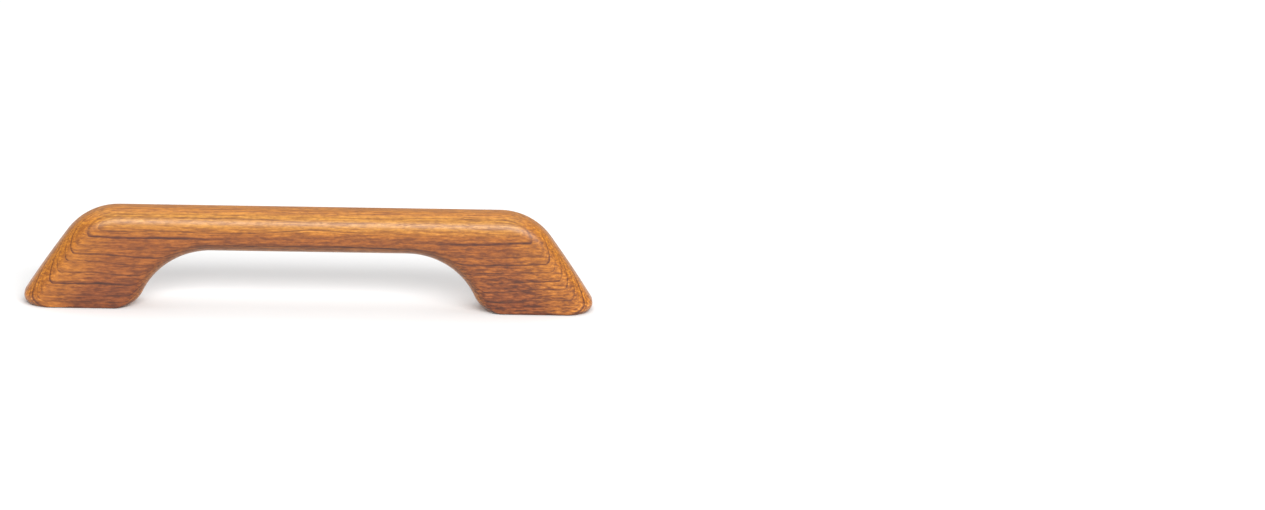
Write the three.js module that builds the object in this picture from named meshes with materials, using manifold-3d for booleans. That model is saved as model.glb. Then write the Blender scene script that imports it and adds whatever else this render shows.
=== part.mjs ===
// Boat grab rail: one hand loop shaped from a single piece of teak, standing on
// two feet, with a threaded brass insert buried in the underside of each foot.
//
// Units are millimetres. +X runs along the rail, +Y through its thickness and +Z
// up from the deck. The origin is on the base plane, midway between the feet.
//
// The rail is built as a stack of side outlines, each drawn in by as much as the
// roundover has taken off there. Every outline stands square on the base plane,
// with its toes and heels eased. A hole is then bored in each foot.

import * as THREE from 'three';
import { mergeVertices } from 'three/addons/utils/BufferGeometryUtils.js';
import Module from 'manifold-3d';

// Rail, seen from the side
const RAIL_HEIGHT = 56;
const RAIL_THICKNESS = 24;
const BAR_DEPTH = 23.5;
const BASE_LENGTH = 321.5; // where the two end slopes would meet the base plane
const FIXING_SPACING = 255;
const END_SLOPE = 59; // degrees from the deck, at the base
const SHOULDER_SLOPE = 54.5; // degrees from the deck, where the shoulder starts
const SHOULDER_RADIUS = 35;
const TOE_RADIUS = 4.5; // outer bottom corner of a foot
const ARCH_FLAT = 108; // straight middle of the hand gap's upper edge
const ARCH_RADIUS = 41.5;
const HEEL_RADIUS = 14; // inner bottom corner of a foot, on the middle plane

// Roundover of the long edges
const OUTER_ROUNDOVER = 10;
const ARCH_ROUNDOVER = 8;
const HEEL_TIGHTENING = 0.75; // of the roundover, taken off the heel's radius

// Threaded insert, M8 inside and a coarse wood thread outside
const INSERT_LENGTH = 20;
const INSERT_RECESS = 0.5; // the insert's face stands this far inside the foot
const INSERT_CREST_RADIUS = 6;
const INSERT_ROOT_RADIUS = 5;
const WOOD_THREAD_PITCH = 3;
const WOOD_THREAD_TURNS = 6;
const BOLT_BORE_RADIUS = 3.3235; // minor diameter of M8 is 6.647
const BORE_CHAMFER = 0.8;
const DRIVER_SLOT_WIDTH = 1.6;
const DRIVER_SLOT_DEPTH = 2.2;

// Hole for the insert
const INSERT_CLEARANCE = 0.3;
const DRILL_POINT_ANGLE = 59; // half of the drill's point angle, degrees

// Fineness of the facets
const SHOULDER_STEPS = 12;
const SLOPE_STEPS = 4;
const ARCH_STEPS = 14;
const CORNER_STEPS = 10;
const ROUNDOVER_STEPS = 7;
const INSERT_SIDES = 28;
const HOLE_SIDES = 40;

// How far a hole's cutter reaches out of the foot
const CUT_MARGIN = 12;

const wasm = await Module();
wasm.setup();

const radians = THREE.MathUtils.degToRad;
const UPRIGHT = Math.PI / 2;

// ---------- Side outline ----------

// Points along an arc about a centre in the X-Z plane, as [x, z].
function arcPoints(centre, radius, startAngle, endAngle, steps) {
  const points = [];
  for (let step = 0; step <= steps; step += 1) {
    const angle = THREE.MathUtils.lerp(startAngle, endAngle, step / steps);
    points.push([centre.x + radius * Math.cos(angle), centre.y + radius * Math.sin(angle)]);
  }
  return points;
}

// The right-hand half of the rail's outside, from the top to the base plane, drawn
// in by an inset. The slope is one long arc, and the toe's arc touches it and the
// base plane.
function outsidePoints(inset) {
  const end = radians(END_SLOPE);
  const shoulder = radians(SHOULDER_SLOPE);
  const shoulderDrop = SHOULDER_RADIUS * (1 - Math.cos(shoulder));
  const slopeRadius = (RAIL_HEIGHT - shoulderDrop) / (Math.cos(shoulder) - Math.cos(end));
  const slopeCentre = new THREE.Vector2(
    BASE_LENGTH / 2 - slopeRadius * Math.sin(end),
    -slopeRadius * Math.cos(end),
  );
  const shoulderShift = (slopeRadius - SHOULDER_RADIUS) * Math.sin(shoulder);
  const shoulderCentre = new THREE.Vector2(
    slopeCentre.x + shoulderShift,
    RAIL_HEIGHT - SHOULDER_RADIUS,
  );

  const centreGap = slopeRadius - inset - TOE_RADIUS;
  const toeRise = TOE_RADIUS - slopeCentre.y;
  const toeCentre = new THREE.Vector2(
    slopeCentre.x + Math.sqrt(centreGap ** 2 - toeRise ** 2),
    TOE_RADIUS,
  );

  const shoulderEnd = UPRIGHT - shoulder;
  const slopeEnd = Math.asin(toeRise / centreGap);
  return [
    ...arcPoints(shoulderCentre, SHOULDER_RADIUS - inset, UPRIGHT, shoulderEnd, SHOULDER_STEPS),
    ...arcPoints(slopeCentre, slopeRadius - inset, shoulderEnd, slopeEnd, SLOPE_STEPS).slice(1),
    ...arcPoints(toeCentre, TOE_RADIUS, slopeEnd, -UPRIGHT, CORNER_STEPS).slice(1),
  ];
}

// The right-hand half of the hand gap, from the base plane to the bar's underside,
// drawn in by an inset. The heel's arc touches the base plane and the arch's arc,
// and is a little tighter where the roundover has drawn the arch in.
function gapPoints(inset) {
  const archRadius = ARCH_RADIUS + inset;
  const archCentre = new THREE.Vector2(ARCH_FLAT / 2, RAIL_HEIGHT - BAR_DEPTH - ARCH_RADIUS);
  const heelRadius = HEEL_RADIUS - HEEL_TIGHTENING * inset;
  const centreGap = archRadius + heelRadius;
  const heelRise = heelRadius - archCentre.y;
  const heelCentre = new THREE.Vector2(
    archCentre.x + Math.sqrt(centreGap ** 2 - heelRise ** 2),
    heelRadius,
  );
  const meetAngle = Math.asin(heelRise / centreGap);
  return [
    ...arcPoints(heelCentre, heelRadius, -UPRIGHT, meetAngle - Math.PI, CORNER_STEPS),
    ...arcPoints(archCentre, archRadius, meetAngle, UPRIGHT, ARCH_STEPS).slice(1),
  ];
}

// ---------- Solids ----------

// Turns a closed geometry into a manifold solid.
function solidFrom(geometry) {
  const bare = geometry.clone();
  bare.deleteAttribute('normal');
  bare.deleteAttribute('uv');
  const merged = mergeVertices(bare, 1e-4);
  const mesh = new wasm.Mesh({
    numProp: 3,
    vertProperties: new Float32Array(merged.attributes.position.array),
    triVerts: new Uint32Array(merged.index.array),
  });
  return new wasm.Manifold(mesh);
}

// Turns a manifold solid back into a geometry.
function geometryFrom(solid) {
  const mesh = solid.getMesh();
  const geometry = new THREE.BufferGeometry();
  const positions = new Float32Array(mesh.vertProperties);
  geometry.setAttribute('position', new THREE.BufferAttribute(positions, 3));
  geometry.setIndex(Array.from(mesh.triVerts));
  geometry.computeVertexNormals();
  return geometry;
}

// One ring round the rail, as [x, y, z] points clockwise from the top right. turn
// is a right angle on the flat face, and 0 where the roundover has come to its end.
function railRing(turn, side) {
  const place = (points, roundover) => {
    const y = RAIL_THICKNESS / 2 - roundover * (1 - Math.sin(turn));
    return points.map(([x, z]) => [x, side * y, z]);
  };
  const right = [
    ...place(outsidePoints(OUTER_ROUNDOVER * (1 - Math.cos(turn))), OUTER_ROUNDOVER),
    ...place(gapPoints(ARCH_ROUNDOVER * (1 - Math.cos(turn))), ARCH_ROUNDOVER),
  ];
  const left = right.map(([x, y, z]) => [-x, y, z]);
  return [...right, ...left.reverse()];
}

// The shaped rail: a stack of rings from the front face to the back face.
function railGeometry() {
  const rings = [];
  for (const side of [-1, 1]) {
    for (let step = 0; step <= ROUNDOVER_STEPS; step += 1) {
      const faceFirst = side < 0 ? step : ROUNDOVER_STEPS - step;
      rings.push(railRing(UPRIGHT * (1 - faceFirst / ROUNDOVER_STEPS), side));
    }
  }

  const count = rings[0].length;
  const indices = [];
  for (let ring = 0; ring < rings.length - 1; ring += 1) {
    for (let point = 0; point < count; point += 1) {
      const next = (point + 1) % count;
      const a = ring * count + point;
      const b = ring * count + next;
      indices.push(a, b, b + count);
      indices.push(a, b + count, a + count);
    }
  }

  // The flat front and back faces close the ends of the stack.
  const lastRing = (rings.length - 1) * count;
  const contour = rings[0].map(([x, , z]) => new THREE.Vector2(x, z));
  for (const [a, b, c] of THREE.ShapeUtils.triangulateShape(contour, [])) {
    indices.push(a, b, c);
    indices.push(lastRing + a, lastRing + c, lastRing + b);
  }

  const geometry = new THREE.BufferGeometry();
  geometry.setAttribute('position', new THREE.Float32BufferAttribute(rings.flat(2), 3));
  geometry.setIndex(indices);
  return geometry;
}

// The bored hole for an insert, with the cone that the drill's point leaves.
function insertHole(x) {
  const radius = INSERT_CREST_RADIUS + INSERT_CLEARANCE;
  const depth = INSERT_RECESS + INSERT_LENGTH + INSERT_CLEARANCE;
  const coneHeight = radius / Math.tan(radians(DRILL_POINT_ANGLE));
  const profile = [
    new THREE.Vector2(0, -CUT_MARGIN),
    new THREE.Vector2(radius, -CUT_MARGIN),
    new THREE.Vector2(radius, depth),
    new THREE.Vector2(0, depth + coneHeight),
  ];
  const geometry = new THREE.LatheGeometry(profile, HOLE_SIDES);
  geometry.rotateX(Math.PI / 2);
  geometry.translate(x, 0, 0);
  return geometry;
}

function handrailGeometry() {
  let wood = solidFrom(railGeometry());
  for (const side of [-1, 1]) {
    wood = wood.subtract(solidFrom(insertHole((side * FIXING_SPACING) / 2)));
  }
  return geometryFrom(wood);
}

// A threaded insert standing on the plane Z = 0, with its axis on Z. The wood
// thread is a row of ridges, and the bolt's thread is its minor diameter.
function insertGeometry() {
  const threadStart = (INSERT_LENGTH - WOOD_THREAD_TURNS * WOOD_THREAD_PITCH) / 2;
  const outside = [
    new THREE.Vector2(BOLT_BORE_RADIUS + BORE_CHAMFER, 0),
    new THREE.Vector2(INSERT_ROOT_RADIUS, 0),
  ];
  for (let turn = 0; turn < WOOD_THREAD_TURNS; turn += 1) {
    const z = threadStart + turn * WOOD_THREAD_PITCH;
    outside.push(new THREE.Vector2(INSERT_ROOT_RADIUS, z));
    outside.push(new THREE.Vector2(INSERT_CREST_RADIUS, z + WOOD_THREAD_PITCH / 2));
  }
  outside.push(new THREE.Vector2(INSERT_ROOT_RADIUS, INSERT_LENGTH - threadStart));
  outside.push(new THREE.Vector2(INSERT_ROOT_RADIUS, INSERT_LENGTH));
  const inside = [
    new THREE.Vector2(BOLT_BORE_RADIUS, INSERT_LENGTH),
    new THREE.Vector2(BOLT_BORE_RADIUS, BORE_CHAMFER),
    outside[0].clone(),
  ];
  const body = new THREE.LatheGeometry([...outside, ...inside], INSERT_SIDES);
  body.rotateX(Math.PI / 2);

  const slot = new THREE.BoxGeometry(
    4 * INSERT_CREST_RADIUS, DRIVER_SLOT_WIDTH, 2 * DRIVER_SLOT_DEPTH,
  );
  return geometryFrom(solidFrom(body).subtract(solidFrom(slot)));
}

// ---------- Assembly ----------

const teak = new THREE.MeshStandardMaterial({ color: 0xb9763f, roughness: 0.4, metalness: 0 });
const brass = new THREE.MeshStandardMaterial({ color: 0xb8923f, roughness: 0.35, metalness: 1 });

function namedMesh(name, geometry, material) {
  const mesh = new THREE.Mesh(geometry, material.clone());
  mesh.name = name;
  return mesh;
}

const grabRail = new THREE.Group();
grabRail.add(namedMesh('handrail', handrailGeometry(), teak));

for (const [name, side] of [['threaded_insert_left', -1], ['threaded_insert_right', 1]]) {
  const insert = namedMesh(name, insertGeometry(), brass);
  insert.position.set((side * FIXING_SPACING) / 2, 0, INSERT_RECESS);
  grabRail.add(insert);
}

export default grabRail;
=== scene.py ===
"""Boat grab rail: the looks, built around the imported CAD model.

The handrail is one shaped piece of teak on two feet. Its fine surface is built here
from the same driving dimensions as the CAD solid, as a stack of slices from the
front face to the back one. Each foot holds a brass insert with real threads.
Lengths are in metres unless a name ends in _mm. +X runs along the rail, +Z is up,
and the camera looks along +Y.
"""

import math

import bmesh
import bpy
from mathutils import Matrix, Vector


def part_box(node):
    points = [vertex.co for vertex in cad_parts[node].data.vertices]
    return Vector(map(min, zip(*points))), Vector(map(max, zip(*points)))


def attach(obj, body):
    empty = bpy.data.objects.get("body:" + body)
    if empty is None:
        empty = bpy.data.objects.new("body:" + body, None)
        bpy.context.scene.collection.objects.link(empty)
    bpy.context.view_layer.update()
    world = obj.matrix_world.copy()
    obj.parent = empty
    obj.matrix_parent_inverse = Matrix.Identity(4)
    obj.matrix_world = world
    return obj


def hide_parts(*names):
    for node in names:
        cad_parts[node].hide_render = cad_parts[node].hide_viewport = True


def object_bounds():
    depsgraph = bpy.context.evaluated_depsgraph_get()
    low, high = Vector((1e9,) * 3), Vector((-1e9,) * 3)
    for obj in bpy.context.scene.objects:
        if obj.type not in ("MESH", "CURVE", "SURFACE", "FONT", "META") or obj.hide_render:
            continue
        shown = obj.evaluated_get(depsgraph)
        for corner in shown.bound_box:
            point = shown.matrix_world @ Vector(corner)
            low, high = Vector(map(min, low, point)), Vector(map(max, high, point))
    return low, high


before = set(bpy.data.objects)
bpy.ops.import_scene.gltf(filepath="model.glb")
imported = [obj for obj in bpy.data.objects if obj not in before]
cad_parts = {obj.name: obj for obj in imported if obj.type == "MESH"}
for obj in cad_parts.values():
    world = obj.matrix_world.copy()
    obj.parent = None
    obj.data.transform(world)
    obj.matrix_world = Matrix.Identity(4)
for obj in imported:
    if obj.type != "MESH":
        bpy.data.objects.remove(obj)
cad_low, cad_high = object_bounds()

MM = 0.001

# ---------- Driving dimensions, as in the CAD ----------

RAIL_LOW, RAIL_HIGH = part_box("handrail")
RAIL_HEIGHT = RAIL_HIGH.z - RAIL_LOW.z
HALF_THICKNESS = (RAIL_HIGH.y - RAIL_LOW.y) / 2
BAR_DEPTH = 23.5 * MM
BASE_LENGTH = 321.5 * MM
END_SLOPE = math.radians(59)
SHOULDER_SLOPE = math.radians(54.5)
SHOULDER_RADIUS = 35 * MM
TOE_RADIUS = 4.5 * MM
ARCH_FLAT = 108 * MM
ARCH_RADIUS = 41.5 * MM
HEEL_RADIUS = 14 * MM
OUTER_ROUNDOVER = 10 * MM
ARCH_ROUNDOVER = 8 * MM
HEEL_TIGHTENING = 0.75
BASE_EDGE_BREAK = 0.5 * MM  # only here, since the CAD leaves the base sharp

UPRIGHT = math.pi / 2


# ---------- Handrail ----------

def polar(centre, radius, angle):
    """The point of an arc at an angle, in the X-Z plane."""
    return (centre[0] + radius * math.cos(angle), centre[1] + radius * math.sin(angle))


def arc(centre, radius, start, end, steps):
    """Points along an arc, both ends included."""
    return [polar(centre, radius, start + (end - start) * i / steps) for i in range(steps + 1)]


def line(start, end, steps):
    """Points along a straight line, both ends included."""
    return [
        (start[0] + (end[0] - start[0]) * i / steps, start[1] + (end[1] - start[1]) * i / steps)
        for i in range(steps + 1)
    ]


def side_layout():
    """Centres and radii of the arcs on the rail's right-hand half."""
    shoulder_drop = SHOULDER_RADIUS * (1 - math.cos(SHOULDER_SLOPE))
    cosine_change = math.cos(SHOULDER_SLOPE) - math.cos(END_SLOPE)
    slope_radius = (RAIL_HEIGHT - shoulder_drop) / cosine_change
    slope_centre = (
        BASE_LENGTH / 2 - slope_radius * math.sin(END_SLOPE),
        -slope_radius * math.cos(END_SLOPE),
    )
    shoulder_shift = (slope_radius - SHOULDER_RADIUS) * math.sin(SHOULDER_SLOPE)
    shoulder_centre = (slope_centre[0] + shoulder_shift, RAIL_HEIGHT - SHOULDER_RADIUS)
    underside = RAIL_HEIGHT - BAR_DEPTH
    arch_centre = (ARCH_FLAT / 2, underside - ARCH_RADIUS)
    return {
        "slope_radius": slope_radius,
        "slope_centre": slope_centre,
        "shoulder_centre": shoulder_centre,
        "underside": underside,
        "arch_centre": arch_centre,
    }


LAYOUT = side_layout()


def inset_at(radius, y):
    """How far a roundover has drawn the outline in, at a distance y from the middle plane."""
    reach = abs(y) - (HALF_THICKNESS - radius)
    if reach <= 0:
        return 0.0
    return radius - math.sqrt(max(radius ** 2 - reach ** 2, 0.0))


def toe_centre(outer, base):
    """Centre of the toe's arc, which touches the drawn-in slope and the base."""
    slope_centre = LAYOUT["slope_centre"]
    gap = LAYOUT["slope_radius"] - outer - TOE_RADIUS
    rise = base + TOE_RADIUS - slope_centre[1]
    return slope_centre[0] + math.sqrt(gap ** 2 - rise ** 2), base + TOE_RADIUS


def heel_layout(inner, base):
    """The centre and radius of the heel's arc, and the angle where the arch's arc meets it.

    The heel touches the base and the arch, and is tighter where the roundover has
    drawn the arch in.
    """
    arch_centre = LAYOUT["arch_centre"]
    radius = HEEL_RADIUS - HEEL_TIGHTENING * inner
    gap = ARCH_RADIUS + inner + radius
    rise = base + radius - arch_centre[1]
    centre = (arch_centre[0] + math.sqrt(gap ** 2 - rise ** 2), base + radius)
    return centre, radius, math.asin(rise / gap)


# How many steps each run of the outline takes, and how many slices each edge does
TOP_STEPS = 14
SHOULDER_STEPS = 26
SLOPE_STEPS = 18
TOE_STEPS = 8
BASE_STEPS = 12
HEEL_STEPS = 10
ARCH_STEPS = 34
UNDERSIDE_STEPS = 12
ROUNDOVER_SLICES = 22
EDGE_BREAK_SLICES = 4
MERGE_DISTANCE = 2e-6
WOOD_CREASE = 24  # degrees, above which an edge stays crisp


def half_slice(y):
    """The right-hand half of the rail's outline at y, from the top to the underside."""
    outer = inset_at(OUTER_ROUNDOVER, y)
    inner = inset_at(ARCH_ROUNDOVER, y)
    base = inset_at(BASE_EDGE_BREAK, y)
    slope_centre, shoulder_centre = LAYOUT["slope_centre"], LAYOUT["shoulder_centre"]
    shoulder_end = UPRIGHT - SHOULDER_SLOPE
    toe_middle = toe_centre(outer, base)
    slope_end = math.atan2(toe_middle[1] - slope_centre[1], toe_middle[0] - slope_centre[0])
    toe = arc(toe_middle, TOE_RADIUS, slope_end, -UPRIGHT, TOE_STEPS)

    heel_middle, heel_radius, meet = heel_layout(inner, base)
    heel = arc(heel_middle, heel_radius, -UPRIGHT, meet - math.pi, HEEL_STEPS)
    arch = arc(LAYOUT["arch_centre"], ARCH_RADIUS + inner, meet, UPRIGHT, ARCH_STEPS)
    top = RAIL_HEIGHT - outer
    underside = LAYOUT["underside"] + inner

    runs = [
        line((0.0, top), (shoulder_centre[0], top), TOP_STEPS),
        arc(shoulder_centre, SHOULDER_RADIUS - outer, UPRIGHT, shoulder_end, SHOULDER_STEPS),
        arc(slope_centre, LAYOUT["slope_radius"] - outer, shoulder_end, slope_end, SLOPE_STEPS),
        toe,
        line(toe[-1], heel[0], BASE_STEPS),
        heel,
        arch,
        line(arch[-1], (0.0, underside), UNDERSIDE_STEPS),
    ]
    points = list(runs[0])
    for run in runs[1:]:
        points += run[1:]
    return points


def slice_places():
    """The y of every slice, from the front face to the back one.

    Rounding makes one slice of those that both edges ask for.
    """
    places = set()
    for radius, count in ((OUTER_ROUNDOVER, ROUNDOVER_SLICES), (BASE_EDGE_BREAK, EDGE_BREAK_SLICES)):
        for i in range(count + 1):
            depth = radius * (1 - math.cos(UPRIGHT * i / count))
            places.add(round(HALF_THICKNESS - depth, 7))
    return sorted({-y for y in places} | places)


def new_object(name, bm):
    """A mesh object made from a bmesh, which is freed."""
    mesh = bpy.data.meshes.new(name)
    bm.to_mesh(mesh)
    bm.free()
    obj = bpy.data.objects.new(name, mesh)
    bpy.context.scene.collection.objects.link(obj)
    return obj


def build_wood():
    """The shaped rail as a closed mesh, before its holes are bored."""
    bm = bmesh.new()
    rings = []
    for y in slice_places():
        right = half_slice(y)
        left = [(-x, z) for x, z in reversed(right[1:-1])]
        rings.append([bm.verts.new((x, y, z)) for x, z in right + left])
    for front, back in zip(rings, rings[1:]):
        for i in range(len(front)):
            j = (i + 1) % len(front)
            bm.faces.new((front[i], front[j], back[j], back[i]))
    bm.faces.new(list(reversed(rings[0])))
    bm.faces.new(rings[-1])
    bmesh.ops.remove_doubles(bm, verts=bm.verts, dist=MERGE_DISTANCE)
    bmesh.ops.recalc_face_normals(bm, faces=bm.faces)
    return new_object("teak_handrail", bm)


HOLE_SIDES = 72
INSERT_CLEARANCE = 0.3 * MM
MOUTH_CHAMFER = 0.5 * MM
DRILL_HALF_ANGLE = math.radians(59)


def revolve(name, profile, sides, centre):
    """A closed solid turned about a vertical axis, from (radius, height) points."""
    bm = bmesh.new()
    rings = []
    for radius, height in profile:
        if radius == 0:
            rings.append([bm.verts.new((centre[0], centre[1], height))])
            continue
        rings.append([
            bm.verts.new((
                centre[0] + radius * math.cos(math.tau * i / sides),
                centre[1] + radius * math.sin(math.tau * i / sides),
                height,
            ))
            for i in range(sides)
        ])
    for low, high in zip(rings, rings[1:]):
        for i in range(sides):
            j = (i + 1) % sides
            lower = [low[i % len(low)], low[j % len(low)]]
            upper = [high[j % len(high)], high[i % len(high)]]
            bm.faces.new(list(dict.fromkeys(lower + upper)))
    bmesh.ops.recalc_face_normals(bm, faces=bm.faces)
    return new_object(name, bm)


def cut(target, cutter):
    """Takes the cutter away from the target, for good."""
    bpy.context.view_layer.objects.active = target
    modifier = target.modifiers.new("cut", "BOOLEAN")
    modifier.operation = "DIFFERENCE"
    modifier.solver = "EXACT"
    modifier.object = cutter
    bpy.ops.object.modifier_apply(modifier=modifier.name)
    bpy.data.objects.remove(cutter, do_unlink=True)


def smooth_by_angle(obj, degrees):
    """Smooth shading, with every edge sharper than the angle kept crisp."""
    mesh = obj.data
    mesh.shade_smooth()
    bm = bmesh.new()
    bm.from_mesh(mesh)
    for edge in bm.edges:
        edge.smooth = len(edge.link_faces) == 2 and edge.calc_face_angle(0.0) < math.radians(degrees)
    bm.to_mesh(mesh)
    bm.free()


def build_handrail(insert_boxes):
    """The rail with a chamfered blind hole bored for each insert."""
    rail = build_wood()
    for low, high in insert_boxes:
        centre = (low + high) / 2
        radius = (high.x - low.x) / 2 + INSERT_CLEARANCE
        depth = high.z + INSERT_CLEARANCE
        profile = [
            (0, -MOUTH_CHAMFER),
            (radius + 2 * MOUTH_CHAMFER, -MOUTH_CHAMFER),
            (radius, MOUTH_CHAMFER),
            (radius, depth),
            (0, depth + radius / math.tan(DRILL_HALF_ANGLE)),
        ]
        cut(rail, revolve("drill", profile, HOLE_SIDES, centre))
    smooth_by_angle(rail, WOOD_CREASE)
    return rail


# ---------- Threaded inserts ----------

BOLT_MINOR_RADIUS = 3.3235 * MM  # M8
BOLT_THREAD_DEPTH = 0.64 * MM
BOLT_PITCH = 1.25 * MM
BOLT_GROOVE_SHARE = 0.94  # of the pitch
BOLT_GROOVE_FLAT = 0.9  # of the groove's full depth
WOOD_THREAD_DEPTH = 1.0 * MM
WOOD_PITCH = 3 * MM
WOOD_RIDGE_SHARE = 0.62  # of the pitch
THREAD_RUN_OUT = 1.2 * MM  # length over which a thread fades at an end
BORE_CHAMFER = 0.8 * MM
RIM_CHAMFER = 0.3 * MM
SLOT_WIDTH = 1.6 * MM
SLOT_DEPTH = 2.2 * MM
INSERT_SIDES = 72
THREAD_STEP = 0.2 * MM
BRASS_CREASE = 35  # degrees


def ridge(height, angle, pitch, width):
    """A helical ridge's height from 0 to 1, width being its share of the pitch."""
    place = (height / pitch - angle / math.tau) % 1.0
    return max(0.0, 1 - abs(place - 0.5) / (width / 2))


def fade(height, length):
    """1 along a thread, falling to 0 at both of its ends."""
    return max(0.0, min(1.0, height / THREAD_RUN_OUT, (length - height) / THREAD_RUN_OUT))


def outer_radius(crest, height, length, angle):
    """The insert's outside: a coarse thread that bites into the wood."""
    cover = ridge(height, angle, WOOD_PITCH, WOOD_RIDGE_SHARE) * fade(height, length)
    rim = max(0.0, RIM_CHAMFER - height, RIM_CHAMFER - (length - height))
    return crest - WOOD_THREAD_DEPTH * (1 - cover) - rim


def inner_radius(height, length, angle):
    """The insert's inside: the bolt's thread, opened by a chamfer at the mouth."""
    groove = min(BOLT_GROOVE_FLAT, ridge(height, angle, BOLT_PITCH, BOLT_GROOVE_SHARE))
    threaded = BOLT_MINOR_RADIUS + BOLT_THREAD_DEPTH * groove * fade(height, length)
    return max(threaded, BOLT_MINOR_RADIUS + BORE_CHAMFER - height)


def build_insert(name, low, high):
    """One brass insert, with both of its threads and a slot for its driver."""
    centre = (low + high) / 2
    crest, length = (high.x - low.x) / 2, high.z - low.z
    steps = round(length / THREAD_STEP)
    heights = [length * i / steps for i in range(steps + 1)]
    bm = bmesh.new()
    columns = []
    for side in range(INSERT_SIDES):
        angle = math.tau * side / INSERT_SIDES
        outside = [(outer_radius(crest, h, length, angle), h) for h in heights]
        inside = [(inner_radius(h, length, angle), h) for h in reversed(heights)]
        columns.append([
            bm.verts.new((centre.x + r * math.cos(angle), centre.y + r * math.sin(angle), low.z + h))
            for r, h in outside + inside
        ])
    for side, column in enumerate(columns):
        following = columns[(side + 1) % INSERT_SIDES]
        for i in range(len(column)):
            j = (i + 1) % len(column)
            bm.faces.new((column[i], following[i], following[j], column[j]))
    bmesh.ops.recalc_face_normals(bm, faces=bm.faces)
    insert = new_object(name, bm)

    slot = bmesh.new()
    size = Matrix.Diagonal((4 * crest, SLOT_WIDTH, 2 * SLOT_DEPTH, 1))
    place = Matrix.Translation((centre.x, centre.y, low.z))
    bmesh.ops.create_cube(slot, size=1, matrix=place @ size)
    cut(insert, new_object("slot", slot))
    smooth_by_angle(insert, BRASS_CREASE)
    return insert


# ---------- Materials ----------

class Nodes:
    """Builds a material's nodes, with the sockets that a node needs given by name."""

    def __init__(self, name):
        self.material = bpy.data.materials.new(name)
        self.material.use_nodes = True
        self.tree = self.material.node_tree
        self.shader = self.tree.nodes["Principled BSDF"]

    def set(self, target, value):
        """Links a socket to a value's socket, or gives it a plain value."""
        if isinstance(value, bpy.types.NodeSocket):
            self.tree.links.new(value, target)
        else:
            target.default_value = value

    def add(self, kind, inputs, **settings):
        """A new node. inputs maps a socket's name or number to a value or a socket."""
        node = self.tree.nodes.new(kind)
        for key, value in settings.items():
            setattr(node, key, value)
        for key, value in inputs.items():
            self.set(node.inputs[key], value)
        return node

    def math(self, operation, a, b=0.0):
        """The result of a sum on one or two values."""
        return self.add("ShaderNodeMath", {0: a, 1: b}, operation=operation).outputs[0]

    def product(self, result, *others):
        """Values multiplied together, in the order given."""
        for other in others:
            result = self.math("MULTIPLY", result, other)
        return result

    def total(self, result, *others):
        """Values added up, in the order given."""
        for other in others:
            result = self.math("ADD", result, other)
        return result

    def vector(self, operation, a, b):
        """The result of a sum on two vectors."""
        return self.add("ShaderNodeVectorMath", {0: a, 1: b}, operation=operation).outputs[0]

    def parts(self, vector):
        """A vector's X, Y and Z."""
        return self.add("ShaderNodeSeparateXYZ", {0: vector}).outputs

    def object_mm(self):
        """The point being shaded, in millimetres."""
        place = self.add("ShaderNodeTexCoord", {}).outputs["Object"]
        return self.vector("MULTIPLY", place, (1 / MM, 1 / MM, 1 / MM))

    def noise(self, place, scale, detail=2.0, roughness=0.5, output="Fac"):
        """Noise from 0 to 1, with its own scale along each axis, in turns per unit of place."""
        scaled = self.vector("MULTIPLY", place, scale)
        inputs = {"Vector": scaled, "Scale": 1.0, "Detail": detail, "Roughness": roughness}
        return self.add("ShaderNodeTexNoise", inputs).outputs[output]

    def sway(self, place, scale, detail, reach):
        """A vector of noise, half of reach either way along each axis at the most."""
        colour = self.noise(place, scale, detail, output="Color")
        return self.vector("MULTIPLY", self.vector("SUBTRACT", colour, (0.5, 0.5, 0.5)), reach)

    def span(self, value, window, shares=(0.0, 1.0)):
        """Goes smoothly from the first share to the second across a window of values."""
        inputs = {
            "Value": value,
            "From Min": window[0],
            "From Max": window[1],
            "To Min": shares[0],
            "To Max": shares[1],
        }
        node = self.add("ShaderNodeMapRange", inputs, interpolation_type="SMOOTHSTEP")
        return node.outputs["Result"]

    def mix(self, amount, a, b, blend="MIX"):
        """Mixes two colours."""
        node = self.add("ShaderNodeMix", {}, data_type="RGBA", blend_type=blend)
        self.set(node.inputs[0], amount)
        self.set(node.inputs[6], a)
        self.set(node.inputs[7], b)
        return node.outputs[2]

    def tint(self, amount, colour, factors):
        """Multiplies a colour's red, green and blue by the factors, as far as amount says."""
        return self.mix(amount, colour, (*factors, 1), "MULTIPLY")

    def bump(self, height, strength, distance):
        """A normal that leans with a height."""
        inputs = {"Height": height, "Strength": strength, "Distance": distance}
        return self.add("ShaderNodeBump", inputs).outputs["Normal"]

    def shade(self, **inputs):
        """Sets the shader's sockets. An underscore in a name stands for a space."""
        for key, value in inputs.items():
            self.set(self.shader.inputs[key.replace("_", " ")], value)
        return self.material


# Teak. A scale is in turns per millimetre along X, Y and Z. A window is the pair of
# values across which something comes in, and the shares beside it are how far it has
# come in at either end.

WHOLE = (0.0, 1.0)

# Growth rings
RING_WIDTH_MM = 1.5
RING_TILT = math.radians(17)  # from the front face
RING_PHASE = 0.35  # years
WANDER_SCALE = (0.009, 0.022, 0.022)
WANDER_REACH_MM = (0, 3.2, 5.0)
QUIVER_SCALE = (0.06, 0.3, 0.3)
QUIVER_REACH_MM = (0, 0.4, 0.6)
UNEVEN_TURNS = (0.6, 0.6, 0.6)  # per year
UNEVEN_REACH = 1.8  # years
LATE_WOOD_START = (0.70, 0.91)  # of the year
LATE_WOOD_END = (1.0, 0.95)
BOLD_TURNS = (0.8, 0.4, 0.4)  # per year
BOLD_DRIFT = (0.010, 0, 0)  # years for each millimetre along the rail
BOLD_WINDOW, BOLD_SHARES = (0.35, 0.60), (0.30, 1.0)
BROKEN_SCALE = (0.11, 0.9, 0.9)
BROKEN_WINDOW, BROKEN_SHARES = (0.36, 0.52), (0.62, 1.0)
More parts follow.
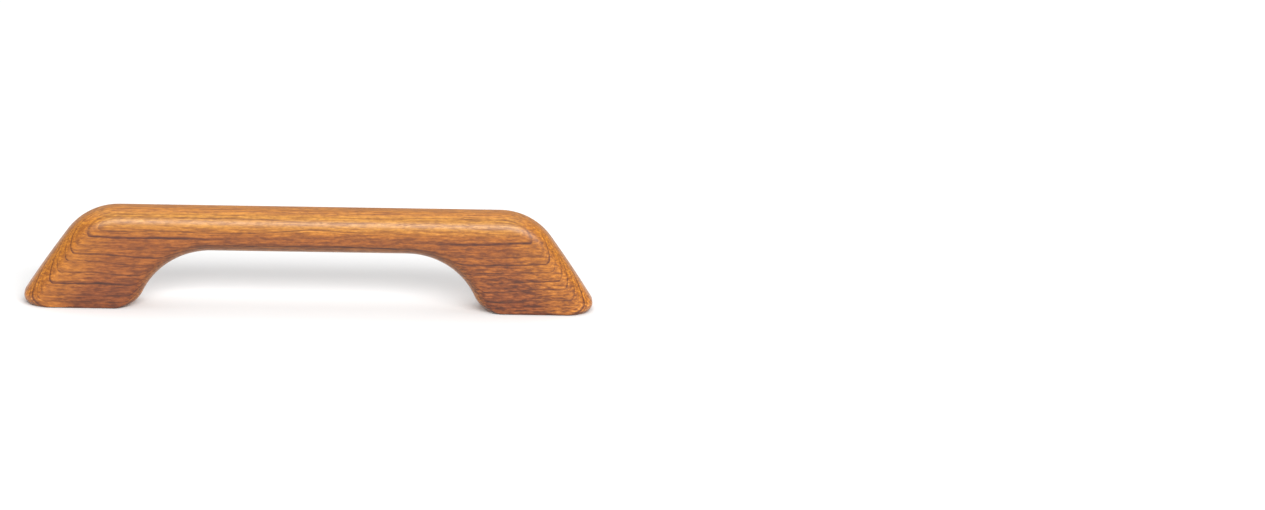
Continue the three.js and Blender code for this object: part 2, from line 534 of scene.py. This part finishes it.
FAINT_TURNS = (3.1, 1, 1)  # per year
FAINT_WINDOW, FAINT_SHARES = (0.35, 0.65), (0.0, 0.45)

# Fibres and pores
FIBRE_ROUGHNESS = 0.6  # of the noise
STREAK_SCALE = (0.030, 0.55, 0.55)
STREAK_WINDOW, STREAK_SHARES = (0.42, 0.66), (0.0, 0.7)
THREAD_SCALE = (0.06, 1.0, 1.0)
THREAD_WINDOW, THREAD_SHARES = (0.48, 0.62), (0.0, 0.8)
MOTTLE_SCALE = (0.30, 0.85, 0.85)
DARK_MOTTLE, PALE_MOTTLE, MOTTLE_SHARES = (0.50, 0.64), (0.50, 0.36), (0.0, 0.6)
FLECK_SCALE = (0.19, 0.80, 0.80)
DARK_FLECK, PALE_FLECK = (0.50, 0.61), (0.47, 0.37)
PORE_SCALE = (0.36, 1.35, 1.35)
PORE_WINDOW = (0.57, 0.68)
PORE_LATE_WINDOW, PORE_LATE_SHARES = (0.0, 0.6), (0.6, 1.0)

# Regions of the rail, in millimetres of height or from its middle
BLOTCH_SCALE = (0.02, 0.06, 0.06)
BLOTCH_REACH_MM = 4.0
OUTER_LAYER_MM = (11.8, 7.5)  # from the middle plane
CREST_MM = (40.0, 50.0)
GOLDEN_TOP_MM, GOLDEN_TOP_SHARES = (40.0, 49.0), (0.0, 0.85)
GOLDEN_END_MM, GOLDEN_END_SHARES = (126.0, 150.0), (0.0, 0.6)
END_LEAN = 0.6  # how far the ends lean inwards for each millimetre of height
END_BLOTCHING = 2.0  # times as much as the outer layer's
# Painted shade: the brown darkens low on the feet, and the gold there brightens a little
FOOT_MM = (34.0, 2.0)
# Painted highlight: a paler, creamier band along the crest that stops short of the ends
PAINTED_HIGHLIGHT_BOTTOM_MM, PAINTED_HIGHLIGHT_TOP_MM, PAINTED_HIGHLIGHT_END_MM = (44.0, 49.5), (55.8, 53.0), (152.0, 142.0)
END_TO_END_MM = (-140.0, 140.0)
FLECK_CREST_SHARES = (1.0, 0.7)
FLECK_FOOT_MM, FLECK_FOOT_SHARES = (36.0, 12.0), (0.6, 1.0)
FLECK_ALONG_SHARES = (0.72, 1.12)
FLECK_GOLDEN_WINDOW, FLECK_GOLDEN_SHARES = (0.2, 1.0), (1.0, 0.6)
LATE_CREST_SHARES = (1.0, 0.55)
PORE_ALONG_SHARES = (0.30, 0.60)
# Painted shade on surfaces that face downwards
UNDERSIDE_SHADE_WINDOW = (-0.05, -0.65)  # of the normal's Z

# Colours, as linear red, green and blue
FACE_BROWN = (0.310, 0.085, 0.004, 1)
# Painted shade: the face brown is darker low on the feet
SHADED_FOOT_BROWN = (0.225, 0.053, 0.005, 1)
BAR_GOLD = (0.560, 0.204, 0.010, 1)
FOOT_GOLD = (0.600, 0.208, 0.011, 1)
PORE_BROWN = (0.110, 0.032, 0.010, 1)

# Tints, as factors on red, green and blue
# Painted highlight: the tint of the paler band along the crest
PAINTED_HIGHLIGHT_TINT = (0.99, 1.20, 2.9)
LATE_WOOD_TINT = (0.27, 0.16, 0.13)
FAINT_TINT = (0.66, 0.56, 0.50)
STREAK_TINT = (0.78, 0.72, 0.68)
THREAD_TINT = (0.62, 0.53, 0.48)
DARK_MOTTLE_TINT = (0.73, 0.68, 0.66)
PALE_MOTTLE_TINT = (1.22, 1.25, 1.50)
DARK_FLECK_TINT = (0.50, 0.41, 0.36)
PALE_FLECK_TINT = (1.40, 1.60, 3.0)
# Painted shade: darker and greyer on surfaces that face downwards
UNDERSIDE_SHADE_TINT = (0.62, 0.64, 1.30)

# Finish. The depths are shares of the relief's whole height.
GLOSS_WINDOW, GLOSS_ROUGHNESS = (0.3, 0.7), (0.38, 0.46)
PORE_ROUGHNESS = 0.2
FLECK_DEPTH = 0.5
PORE_DEPTH = 0.8
LATE_WOOD_DEPTH = 0.3
RELIEF_HEIGHT = 0.08 * MM


def growth_rings(n, place):
    """The bent distance across the wood, the late wood's dark lines and fainter ones."""
    # The rings wander slowly along the grain, and quiver a little.
    bent = n.vector("ADD", place, n.sway(place, WANDER_SCALE, 2.0, WANDER_REACH_MM))
    bent = n.vector("ADD", bent, n.sway(place, QUIVER_SCALE, 3.0, QUIVER_REACH_MM))
    _, across, up = n.parts(bent)
    tilted_up = n.product(up, math.sin(RING_TILT))
    depth = n.math("SUBTRACT", n.product(across, math.cos(RING_TILT)), tilted_up)

    # Not all years are of one width.
    even_years = n.product(depth, 1 / RING_WIDTH_MM)
    year_place = n.add("ShaderNodeCombineXYZ", {0: even_years}).outputs[0]
    uneven = n.math("SUBTRACT", n.noise(year_place, UNEVEN_TURNS, 1.0), 0.5)
    years = n.total(even_years, n.product(uneven, UNEVEN_REACH), RING_PHASE)

    # The late wood is bolder in some years, and broken along the grain.
    season = n.math("FRACT", years)
    bold_place = n.vector("ADD", year_place, n.vector("MULTIPLY", place, BOLD_DRIFT))
    bold = n.noise(bold_place, BOLD_TURNS, 1.0)
    broken = n.noise(place, BROKEN_SCALE, 2.0, FIBRE_ROUGHNESS)
    late = n.product(
        n.span(season, LATE_WOOD_START),
        n.span(season, LATE_WOOD_END),
        n.span(bold, BOLD_WINDOW, BOLD_SHARES),
        n.span(broken, BROKEN_WINDOW, BROKEN_SHARES),
    )
    faint = n.span(n.noise(year_place, FAINT_TURNS), FAINT_WINDOW, FAINT_SHARES)
    return across, late, faint


def plain_wood(n, place, across):
    """The wood's colour before its grain, and the share of it that is golden.

    The outer layer at the faces is browner than the golden wood beneath it. The brown is
    darker low on the feet, as painted shade, and a band along the crest is paler, as a
    painted highlight.
    """
    along, _, height = n.parts(place)
    shift = n.product(n.math("SUBTRACT", n.noise(place, BLOTCH_SCALE), 0.5), BLOTCH_REACH_MM)
    layer = n.math("ABSOLUTE", n.total(across, shift))
    outward = n.total(
        n.math("ABSOLUTE", along),
        n.product(height, END_LEAN),
        n.product(shift, END_BLOTCHING),
    )
    golden_top = n.span(height, GOLDEN_TOP_MM, GOLDEN_TOP_SHARES)
    golden = n.math("MAXIMUM", n.span(layer, OUTER_LAYER_MM), golden_top)
    golden = n.math("MAXIMUM", golden, n.span(outward, GOLDEN_END_MM, GOLDEN_END_SHARES))

    # Painted shade: the brown darkens low on the feet, while the gold there brightens a little.
    low = n.span(height, FOOT_MM)
    brown = n.mix(low, FACE_BROWN, SHADED_FOOT_BROWN)
    gold = n.mix(low, BAR_GOLD, FOOT_GOLD)
    # Painted highlight: the crest band is paler and creamier, as if lit, short of the ends.
    painted_highlight = n.product(
        n.span(height, PAINTED_HIGHLIGHT_BOTTOM_MM),
        n.span(height, PAINTED_HIGHLIGHT_TOP_MM),
        n.span(outward, PAINTED_HIGHLIGHT_END_MM),
    )
    return n.tint(painted_highlight, n.mix(golden, brown, gold), PAINTED_HIGHLIGHT_TINT), golden


def teak():
    """Oiled teak as a solid: growth rings nearly level with the front face, with pores along X.

    The rings are tilted, so they draw long level lines on the faces, sweep up beside
    the rounded ends, and crowd together where an edge turns away.
    """
    n = Nodes("teak")
    place = n.object_mm()
    along, _, height = n.parts(place)
    across, late, faint = growth_rings(n, place)
    colour, golden = plain_wood(n, place, across)
    crest = n.span(height, CREST_MM)

    # Fibres: long soft streaks, shorter threads, mottle and flecks, and fine open pores.
    streak = n.noise(place, STREAK_SCALE, 3.0, FIBRE_ROUGHNESS)
    thread = n.noise(place, THREAD_SCALE, 2.0, FIBRE_ROUGHNESS)
    mottle = n.noise(place, MOTTLE_SCALE, 2.0, FIBRE_ROUGHNESS)
    fleck = n.noise(place, FLECK_SCALE, 3.0, FIBRE_ROUGHNESS)
    late_pores = n.span(late, PORE_LATE_WINDOW, PORE_LATE_SHARES)
    pore = n.product(n.span(n.noise(place, PORE_SCALE), PORE_WINDOW), late_pores)

    # The flecks are stronger low on the feet and towards the right-hand end.
    fleck_strength = n.product(
        n.span(crest, WHOLE, FLECK_CREST_SHARES),
        n.span(height, FLECK_FOOT_MM, FLECK_FOOT_SHARES),
        n.span(along, END_TO_END_MM, FLECK_ALONG_SHARES),
        n.span(golden, FLECK_GOLDEN_WINDOW, FLECK_GOLDEN_SHARES),
    )
    grain = (
        (n.product(late, n.span(crest, WHOLE, LATE_CREST_SHARES)), LATE_WOOD_TINT),
        (faint, FAINT_TINT),
        (n.span(streak, STREAK_WINDOW, STREAK_SHARES), STREAK_TINT),
        (n.span(thread, THREAD_WINDOW, THREAD_SHARES), THREAD_TINT),
        (n.span(mottle, DARK_MOTTLE, MOTTLE_SHARES), DARK_MOTTLE_TINT),
        (n.span(mottle, PALE_MOTTLE, MOTTLE_SHARES), PALE_MOTTLE_TINT),
        (n.product(n.span(fleck, DARK_FLECK), fleck_strength), DARK_FLECK_TINT),
        (n.product(n.span(fleck, PALE_FLECK), fleck_strength), PALE_FLECK_TINT),
    )
    for amount, factors in grain:
        colour = n.tint(amount, colour, factors)
    pore_share = n.product(pore, n.span(along, END_TO_END_MM, PORE_ALONG_SHARES))
    colour = n.mix(pore_share, colour, PORE_BROWN)

    # Painted shade: surfaces that face downwards are made darker and greyer.
    normal = n.add("ShaderNodeTexCoord", {}).outputs["Normal"]
    colour = n.tint(n.span(n.parts(normal)[2], UNDERSIDE_SHADE_WINDOW), colour, UNDERSIDE_SHADE_TINT)

    # Flecks, pores and late wood lie a little lower than the rest.
    relief = n.math("SUBTRACT", n.product(fleck, -FLECK_DEPTH), n.product(pore, PORE_DEPTH))
    relief = n.math("SUBTRACT", relief, n.product(late, LATE_WOOD_DEPTH))
    gloss = n.span(fleck, GLOSS_WINDOW, GLOSS_ROUGHNESS)
    return n.shade(
        Base_Color=colour,
        Roughness=n.total(gloss, n.product(pore, PORE_ROUGHNESS)),
        Normal=n.bump(relief, strength=0.4, distance=RELIEF_HEIGHT),
        IOR=1.5,
        Coat_Weight=0.25,
        Coat_Roughness=0.30,
    )


CLEAN_BRASS = (0.72, 0.50, 0.19, 1)
DULL_BRASS = (0.42, 0.27, 0.10, 1)
CLOUD_SCALE = (0.35, 0.35, 0.35)
CLOUD_WINDOW = (0.3, 0.7)
TURNING_SCALE = (0.6, 0.6, 9.0)  # fine marks round the insert's axis
BRASS_ROUGHNESS = (0.22, 0.40)
TURNING_ROUGHNESS = 0.08
TURNING_HEIGHT = 0.02 * MM


def brass():
    """Turned brass that has dulled a little."""
    n = Nodes("brass")
    place = n.object_mm()
    cloud = n.noise(place, CLOUD_SCALE, 3.0)
    turning = n.noise(place, TURNING_SCALE)
    dullness = n.span(cloud, CLOUD_WINDOW, BRASS_ROUGHNESS)
    return n.shade(
        Base_Color=n.mix(n.span(cloud, CLOUD_WINDOW), CLEAN_BRASS, DULL_BRASS),
        Metallic=1.0,
        Roughness=n.total(dullness, n.product(turning, TURNING_ROUGHNESS)),
        Normal=n.bump(turning, strength=0.3, distance=TURNING_HEIGHT),
    )


FLOOR_SCALE = (0.004, 0.004, 0.004)
FLOOR_DARKER = (0.86, 0.86, 0.86, 1)
FLOOR_LIGHTER = (0.88, 0.88, 0.88, 1)


def pale_floor():
    """Matt white that varies very slightly."""
    n = Nodes("pale_floor")
    drift = n.noise(n.object_mm(), FLOOR_SCALE)
    return n.shade(Base_Color=n.mix(drift, FLOOR_DARKER, FLOOR_LIGHTER), Roughness=0.9)


# ---------- The object ----------

def finish_piece(piece, material, node):
    """Gives a piece its material, and lets it stand for a CAD node."""
    piece.data.materials.clear()
    piece.data.materials.append(material)
    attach(piece, "root")
    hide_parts(node)


INSERTS = ("threaded_insert_left", "threaded_insert_right")
brass_material = brass()
handrail = build_handrail([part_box(node) for node in INSERTS])
finish_piece(handrail, teak(), "handrail")
for node in INSERTS:
    insert = build_insert(f"brass_{node}", *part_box(node))
    finish_piece(insert, brass_material, node)


# ---------- Stage ----------

FLOOR_SIZE = 60.0
FLOOR_GAP = 0.2 * MM
LIGHT_DISTANCE = 3.0
WORLD_STRENGTH = 0.5


def build_floor():
    """The floor, just clear of the feet."""
    bm = bmesh.new()
    bmesh.ops.create_grid(bm, x_segments=1, y_segments=1, size=FLOOR_SIZE / 2)
    floor = new_object("floor", bm)
    floor.location.z = cad_low.z - FLOOR_GAP
    floor.data.materials.append(pale_floor())


def direction(azimuth, elevation):
    """A unit vector from the rail. Azimuth 0 is towards the camera, and 90 is +X."""
    a, e = math.radians(azimuth), math.radians(elevation)
    return Vector((math.sin(a) * math.cos(e), -math.cos(a) * math.cos(e), math.sin(e)))


def soft_light(name, azimuth, elevation, size, energy):
    """A rectangular soft light that faces the rail and isn't seen itself.

    The angles are in degrees and the energy in watts.
    """
    data = bpy.data.lights.new(name, "AREA")
    data.shape = "RECTANGLE"
    data.size, data.size_y = size
    data.energy = energy
    light = bpy.data.objects.new(name, data)
    bpy.context.scene.collection.objects.link(light)
    towards = direction(azimuth, elevation)
    light.location = towards * LIGHT_DISTANCE
    light.rotation_mode = "QUATERNION"
    light.rotation_quaternion = towards.to_track_quat("Z", "Y")
    light.visible_camera = False


def build_world(strength):
    """Even white light from all round."""
    world = bpy.data.worlds.new("studio")
    world.use_nodes = True
    background = world.node_tree.nodes["Background"]
    background.inputs["Color"].default_value = (1, 1, 1, 1)
    background.inputs["Strength"].default_value = strength
    bpy.context.scene.world = world


CAMERA_LENS = 300.0  # as long a lens as the picture's flat perspective asks for
CAMERA_SENSOR = 36.0
CAMERA_ELEVATION = 18.0
CAMERA_ROLL = 0.9
VIEW_WIDTH = 0.7013  # metres of the rail's own plane across the frame
AIM_RIGHT = 0.1796  # the frame's centre, to the right of the rail's base
AIM_UP = 0.0277  # and above it
CAMERA_REACH = 100.0


def build_camera():
    """A long lens that looks along +Y and a little down, with the rail low on its left."""
    data = bpy.data.cameras.new("camera")
    data.lens = CAMERA_LENS
    data.sensor_width = CAMERA_SENSOR
    camera = bpy.data.objects.new("camera", data)
    bpy.context.scene.collection.objects.link(camera)
    towards = direction(0, CAMERA_ELEVATION)
    roll = Matrix.Rotation(math.radians(CAMERA_ROLL), 3, "Z").to_quaternion()
    facing = towards.to_track_quat("Z", "Y") @ roll
    base = Vector((0, 0, cad_low.z))
    aim = base + facing @ Vector((AIM_RIGHT, AIM_UP, 0))
    camera.location = base + towards * (VIEW_WIDTH * CAMERA_LENS / CAMERA_SENSOR)
    turn = facing.inverted() @ (aim - camera.location)
    yaw = math.atan2(turn.x, -turn.z)
    pitch = math.atan2(turn.y, math.hypot(turn.x, turn.z))
    swing = Matrix.Rotation(-yaw, 3, "Y") @ Matrix.Rotation(pitch, 3, "X")
    camera.rotation_mode = "QUATERNION"
    camera.rotation_quaternion = facing @ swing.to_quaternion()
    data.clip_end = CAMERA_REACH
    bpy.context.scene.camera = camera


build_floor()
build_world(WORLD_STRENGTH)
soft_light("key", azimuth=14, elevation=36, size=(3.8, 1.0), energy=112)
soft_light("top", azimuth=180, elevation=75, size=(5.0, 3.0), energy=42)
build_camera()
bpy.context.scene.view_settings.view_transform = "Standard"
